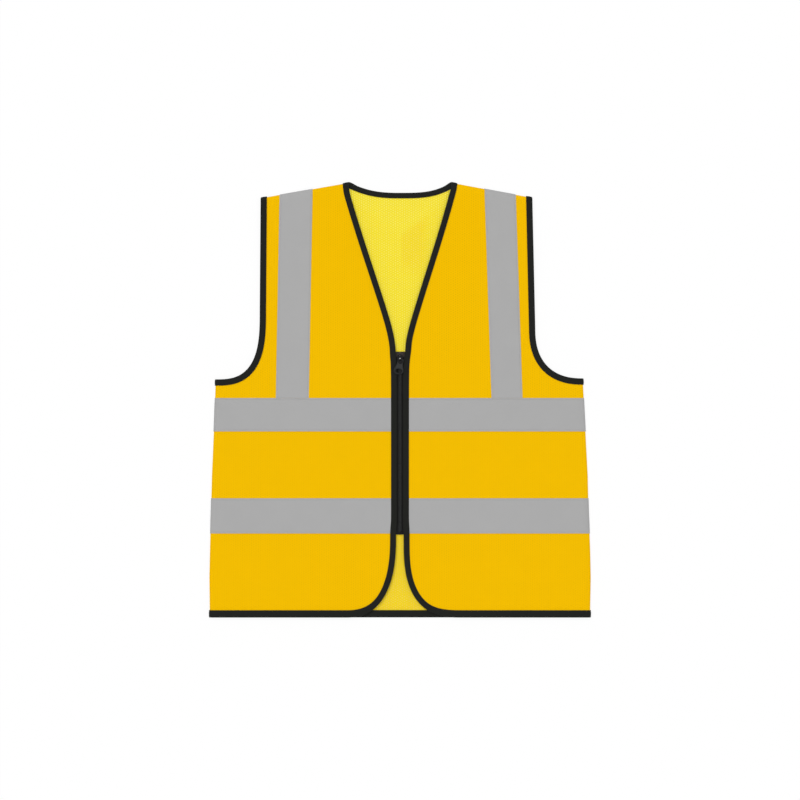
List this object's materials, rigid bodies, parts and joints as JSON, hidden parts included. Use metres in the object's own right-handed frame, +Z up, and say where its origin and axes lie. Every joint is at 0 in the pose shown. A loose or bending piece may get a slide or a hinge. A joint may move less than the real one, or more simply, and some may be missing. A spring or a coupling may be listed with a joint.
{
  "type": "mesh safety vest",
  "caption": "Sleeveless V-neck safety vest in open mesh, laid flat, with reflective bands and braces, bound edges and a front zip with a hinged pull tab.",
  "frame": {"origin": "centre of the laid garment's outline, on the surface it lies on", "axes": "+Z up from the surface through the front, +Y from the hem to the neck, +X to the right seen from above"},
  "size_m": [0.5753, 0.6541, 0.0118],
  "materials": {
    "mesh": "golden yellow polyester mesh, lemon yellow inside",
    "tape": "matt grey retroreflective tape",
    "binding": "black bias tape",
    "zip_cloth": "black woven zip tape",
    "zip_teeth": "black nylon coil",
    "slider": "dark grey satin enamel"
  },
  "bodies": {
    "vest": {"front_panel_left": "mesh", "front_panel_right": "mesh", "back_panel": "mesh", "tape_lower_front_left": "tape", "tape_lower_front_right": "tape", "tape_lower_back": "tape", "tape_upper_front_left": "tape", "tape_upper_front_right": "tape", "tape_upper_back": "tape", "tape_brace_front_left": "tape", "tape_brace_front_right": "tape", "tape_brace_back_left": "tape", "tape_brace_back_right": "tape", "binding_front_left": "binding", "binding_front_right": "binding", "binding_hem_back": "binding", "binding_neck_back": "binding", "binding_armhole_front_left": "binding", "binding_armhole_front_right": "binding", "binding_armhole_back_left": "binding", "binding_armhole_back_right": "binding", "zip_tape_left": "zip_cloth", "zip_tape_right": "zip_cloth", "zip_chain": "zip_teeth", "zip_slider": "slider", "zip_top_stop_left": "slider", "zip_top_stop_right": "slider", "zip_bottom_stop": "slider"},
    "pull_tab": {"zip_pull_tab": "slider"}
  },
  "joints": [
    {"name": "pull_hinge", "type": "hinge", "parent": "vest", "child": "pull_tab", "pos_m": [0, 0.061, 0.0095], "axis": [-0.9816, 0.1908, 0], "range_deg": [0, 175]}
  ]
}
